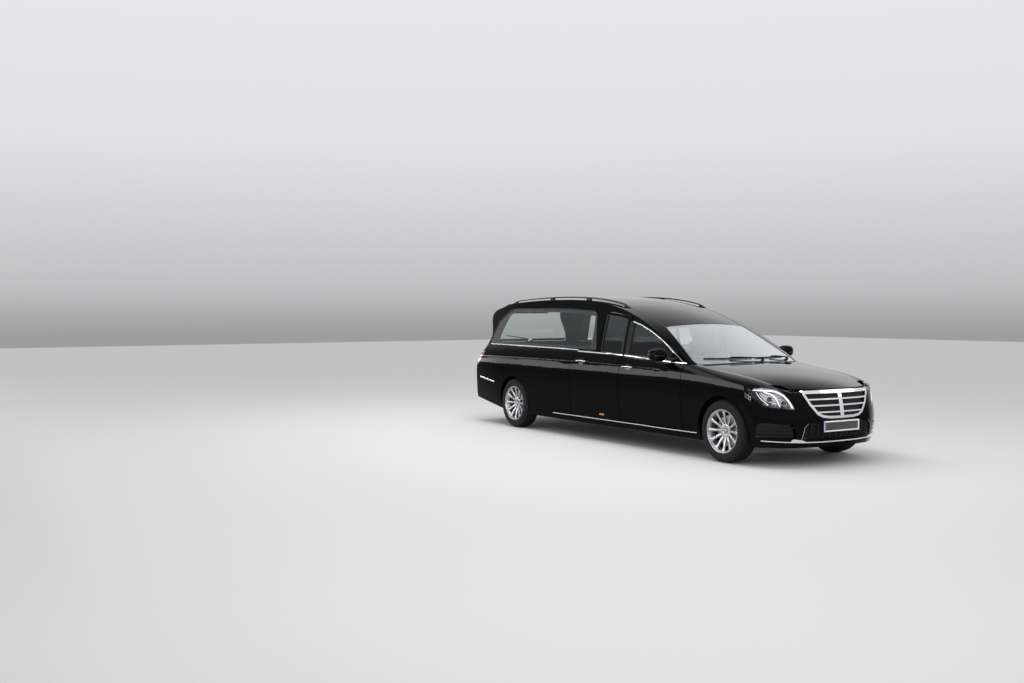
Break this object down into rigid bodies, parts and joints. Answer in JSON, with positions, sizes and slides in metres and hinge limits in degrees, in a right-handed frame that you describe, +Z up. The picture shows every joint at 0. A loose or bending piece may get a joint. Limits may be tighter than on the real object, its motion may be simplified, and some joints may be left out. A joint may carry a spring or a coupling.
{
  "type": "hearse",
  "caption": "Long four-door hearse with tall side windows over a flat loading deck, opening doors, bonnet and tailgate, steered front wheels and roof rails.",
  "frame": {"origin": "on the ground, under the middle of the body's length and width", "axes": "+X along the car towards the nose, +Y to the car's left-hand side, +Z up"},
  "size_m": [6.2155, 2.214, 1.802],
  "materials": {
    "black_paint": "gloss",
    "black_plastic": "satin",
    "window_glass": "clear",
    "lamp_glass": "clear",
    "red_lamp": "gloss",
    "chrome": "polished",
    "shell_paint": "satin",
    "deck_wood": "satin",
    "trim_panel": "matte",
    "seat_leather": "satin",
    "cast_metal": "rough",
    "chassis_paint": "satin",
    "exhaust_steel": "brushed",
    "wheel_leather": "satin",
    "tyre": "matte",
    "alloy": "satin"
  },
  "bodies": {
    "body": {"body_side_left": "black_paint", "body_side_right": "black_paint", "front_wing_left": "black_paint", "front_wing_right": "black_paint", "front_bumper": "black_paint", "rear_bumper": "black_paint", "roof": "black_paint", "scuttle_panel": "black_plastic", "wheel_liners": "black_plastic", "dashboard": "black_plastic", "roof_rails": "black_plastic", "windscreen": "window_glass", "side_window_left": "window_glass", "side_window_right": "window_glass", "headlamps": "lamp_glass", "tail_lamps": "red_lamp", "grille": "chrome", "grille_mesh": "black_plastic", "floor_pan": "shell_paint", "door_posts": "shell_paint", "bier_deck": "deck_wood", "partition": "trim_panel", "front_seats": "seat_leather", "rear_seat": "seat_leather", "engine_block": "cast_metal", "front_subframe": "chassis_paint", "front_suspension": "chassis_paint", "rear_axle": "chassis_paint", "exhaust": "exhaust_steel"},
    "bonnet": {"bonnet": "black_paint"},
    "tailgate": {"tailgate": "black_paint", "tailgate_window": "window_glass"},
    "front_door_left": {"front_door_left": "black_paint", "front_window_left": "window_glass", "mirror_left": "black_paint"},
    "front_door_right": {"front_door_right": "black_paint", "front_window_right": "window_glass", "mirror_right": "black_paint"},
    "rear_door_left": {"rear_door_left": "black_paint", "rear_window_left": "window_glass"},
    "rear_door_right": {"rear_door_right": "black_paint", "rear_window_right": "window_glass"},
    "knuckle_left": {"knuckle_left": "cast_metal"},
    "knuckle_right": {"knuckle_right": "cast_metal"},
    "steering_wheel": {"steering_wheel": "wheel_leather"},
    "wheel_front_left": {"tyre_front_left": "tyre", "rim_front_left": "alloy"},
    "wheel_front_right": {"tyre_front_right": "tyre", "rim_front_right": "alloy"},
    "wheel_rear_left": {"tyre_rear_left": "tyre", "rim_rear_left": "alloy"},
    "wheel_rear_right": {"tyre_rear_right": "tyre", "rim_rear_right": "alloy"}
  },
  "joints": [
    {"name": "front_door_left_hinge", "type": "hinge", "parent": "body", "child": "front_door_left", "pos_m": [1.617, 0.928, 0.6], "axis": [0, 0, -1], "range_deg": [0, 65]},
    {"name": "front_door_right_hinge", "type": "hinge", "parent": "body", "child": "front_door_right", "pos_m": [1.617, -0.928, 0.6], "axis": [0, 0, 1], "range_deg": [0, 65]},
    {"name": "rear_door_left_hinge", "type": "hinge", "parent": "body", "child": "rear_door_left", "pos_m": [0.477, 0.928, 0.6], "axis": [0, 0, -1], "range_deg": [0, 65]},
    {"name": "rear_door_right_hinge", "type": "hinge", "parent": "body", "child": "rear_door_right", "pos_m": [0.477, -0.928, 0.6], "axis": [0, 0, 1], "range_deg": [0, 65]},
    {"name": "bonnet_hinge", "type": "hinge", "parent": "body", "child": "bonnet", "pos_m": [1.698, 0, 1.047], "axis": [0, -1, 0], "range_deg": [0, 55]},
    {"name": "tailgate_hinge", "type": "hinge", "parent": "body", "child": "tailgate", "pos_m": [-2.633, 0, 1.727], "axis": [0, 1, 0], "range_deg": [0, 80]},
    {"name": "steer_right", "type": "hinge", "parent": "body", "child": "knuckle_right", "pos_m": [2.264, -0.73, 0.335], "axis": [0, 0, 1], "range_deg": [-35, 35]},
    {"name": "steer_left", "type": "hinge", "parent": "body", "child": "knuckle_left", "pos_m": [2.264, 0.73, 0.335], "axis": [0, 0, 1], "range_deg": [-35, 35]},
    {"name": "steering_wheel_turn", "type": "hinge", "parent": "body", "child": "steering_wheel", "pos_m": [1.184, -0.37, 0.905], "axis": [-0.9135, 0, 0.4067], "range_deg": [-490, 490]},
    {"name": "spin_front_left", "type": "hinge", "parent": "knuckle_left", "child": "wheel_front_left", "pos_m": [2.264, 0.795, 0.335], "axis": [0, 1, 0], "continuous": true},
    {"name": "spin_front_right", "type": "hinge", "parent": "knuckle_right", "child": "wheel_front_right", "pos_m": [2.264, -0.795, 0.335], "axis": [0, 1, 0], "continuous": true},
    {"name": "spin_rear_left", "type": "hinge", "parent": "body", "child": "wheel_rear_left", "pos_m": [-1.916, 0.795, 0.335], "axis": [0, 1, 0], "continuous": true},
    {"name": "spin_rear_right", "type": "hinge", "parent": "body", "child": "wheel_rear_right", "pos_m": [-1.916, -0.795, 0.335], "axis": [0, 1, 0], "continuous": true}
  ],
  "couplings": [
    {"joint": "steer_left", "follows": "steer_right", "ratio": 1},
    {"joint": "steering_wheel_turn", "follows": "steer_right", "ratio": 14}
  ]
}
